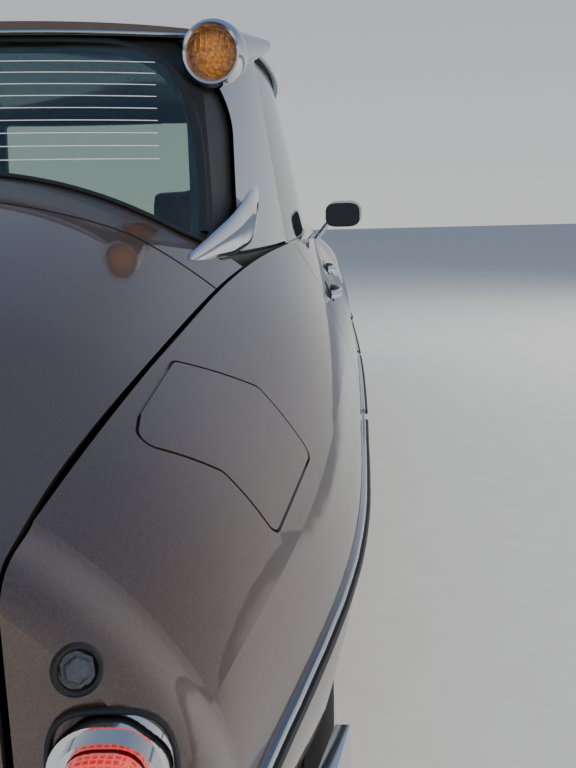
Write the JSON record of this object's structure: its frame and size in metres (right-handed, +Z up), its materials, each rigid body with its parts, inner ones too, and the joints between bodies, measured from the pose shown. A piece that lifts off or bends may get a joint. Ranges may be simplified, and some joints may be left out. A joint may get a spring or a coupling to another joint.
{
  "type": "four-door saloon car",
  "caption": "Fastback-nosed four-door saloon with a long bonnet, glazed lamp fairings, tapering tail and half-covered rear wheels",
  "frame": {"origin": "on the ground, under the middle of the overall length and width", "axes": "+X forward, +Y to the car's left, +Z up"},
  "size_m": [4.874, 1.876, 1.4697],
  "materials": {
    "body_paint": "metallic brown gloss",
    "black_paint": "satin black",
    "chrome": "polished",
    "stainless": "bright",
    "wheel_paint": "silver",
    "tyre": "matt",
    "glass": "clear",
    "red_lens": "ribbed",
    "steel": "plain",
    "cast": "as cast",
    "seat_cloth": "woven",
    "dash_plastic": "grained"
  },
  "bodies": {
    "body": {"platform": "black_paint", "scuttle_ring": "black_paint", "shelf_ring": "black_paint", "boot_tub": "black_paint", "front_subframe": "black_paint", "pillar_frame": "black_paint", "roof": "body_paint", "windscreen": "glass", "rear_window": "glass", "pillar_covers": "stainless", "pillar_strips": "stainless", "front_wing_left": "body_paint", "front_wing_right": "body_paint", "rear_wing_left": "body_paint", "rear_wing_right": "body_paint", "front_bumper": "chrome", "rear_bumper": "chrome", "lamp_glasses": "glass", "headlamps": "chrome", "tail_lamps": "red_lens", "engine": "cast", "front_arms": "steel", "rear_arms": "steel", "dashboard": "dash_plastic", "steering_wheel": "dash_plastic", "front_seats": "seat_cloth", "rear_seat": "seat_cloth", "tow_eye_front": "steel", "tow_eye_rear": "steel", "indicators": "stainless", "fuel_flap": "body_paint"},
    "bonnet": {"bonnet": "body_paint"},
    "boot_lid": {"boot_lid": "body_paint"},
    "front_door_left": {"front_door_left": "body_paint", "front_glass_left": "glass", "mirror_left": "stainless"},
    "rear_door_left": {"rear_door_left": "body_paint", "rear_glass_left": "glass"},
    "knuckle_left": {"knuckle_left": "steel"},
    "front_wheel_left": {"front_wheel_left": "wheel_paint", "front_tyre_left": "tyre"},
    "rear_wheel_left": {"rear_wheel_left": "wheel_paint", "rear_tyre_left": "tyre"},
    "front_door_right": {"front_door_right": "body_paint", "front_glass_right": "glass", "mirror_right": "stainless"},
    "rear_door_right": {"rear_door_right": "body_paint", "rear_glass_right": "glass"},
    "knuckle_right": {"knuckle_right": "steel"},
    "front_wheel_right": {"front_wheel_right": "wheel_paint", "front_tyre_right": "tyre"},
    "rear_wheel_right": {"rear_wheel_right": "wheel_paint", "rear_tyre_right": "tyre"}
  },
  "joints": [
    {"name": "bonnet_hinge", "type": "hinge", "parent": "body", "child": "bonnet", "pos_m": [1.006, 0, 0.906], "axis": [0, -1, 0], "range_deg": [0, 38]},
    {"name": "boot_hinge", "type": "hinge", "parent": "body", "child": "boot_lid", "pos_m": [-1.464, 0, 0.896], "axis": [0, 1, 0], "range_deg": [0, 48]},
    {"name": "front_door_left_hinge", "type": "hinge", "parent": "body", "child": "front_door_left", "pos_m": [0.909, 0.8785, 0.45], "axis": [0, 0, -1], "range_deg": [0, 65]},
    {"name": "rear_door_left_hinge", "type": "hinge", "parent": "body", "child": "rear_door_left", "pos_m": [-0.019, 0.8595, 0.45], "axis": [0, 0, -1], "range_deg": [0, 65]},
    {"name": "steer_left", "type": "hinge", "parent": "body", "child": "knuckle_left", "pos_m": [1.587, 0.75, 0.33], "axis": [0, 0, 1], "range_deg": [-35, 35]},
    {"name": "front_wheel_left_spin", "type": "hinge", "parent": "knuckle_left", "child": "front_wheel_left", "pos_m": [1.587, 0.75, 0.33], "axis": [0, 1, 0], "continuous": true},
    {"name": "rear_wheel_left_spin", "type": "hinge", "parent": "body", "child": "rear_wheel_left", "pos_m": [-1.538, 0.65, 0.33], "axis": [0, 1, 0], "continuous": true},
    {"name": "front_door_right_hinge", "type": "hinge", "parent": "body", "child": "front_door_right", "pos_m": [0.909, -0.8785, 0.45], "axis": [0, 0, 1], "range_deg": [0, 65]},
    {"name": "rear_door_right_hinge", "type": "hinge", "parent": "body", "child": "rear_door_right", "pos_m": [-0.019, -0.8595, 0.45], "axis": [0, 0, 1], "range_deg": [0, 65]},
    {"name": "steer_right", "type": "hinge", "parent": "body", "child": "knuckle_right", "pos_m": [1.587, -0.75, 0.33], "axis": [0, 0, 1], "range_deg": [-35, 35]},
    {"name": "front_wheel_right_spin", "type": "hinge", "parent": "knuckle_right", "child": "front_wheel_right", "pos_m": [1.587, -0.75, 0.33], "axis": [0, 1, 0], "continuous": true},
    {"name": "rear_wheel_right_spin", "type": "hinge", "parent": "body", "child": "rear_wheel_right", "pos_m": [-1.538, -0.65, 0.33], "axis": [0, 1, 0], "continuous": true}
  ],
  "couplings": [
    {"joint": "steer_right", "follows": "steer_left", "ratio": 1}
  ]
}
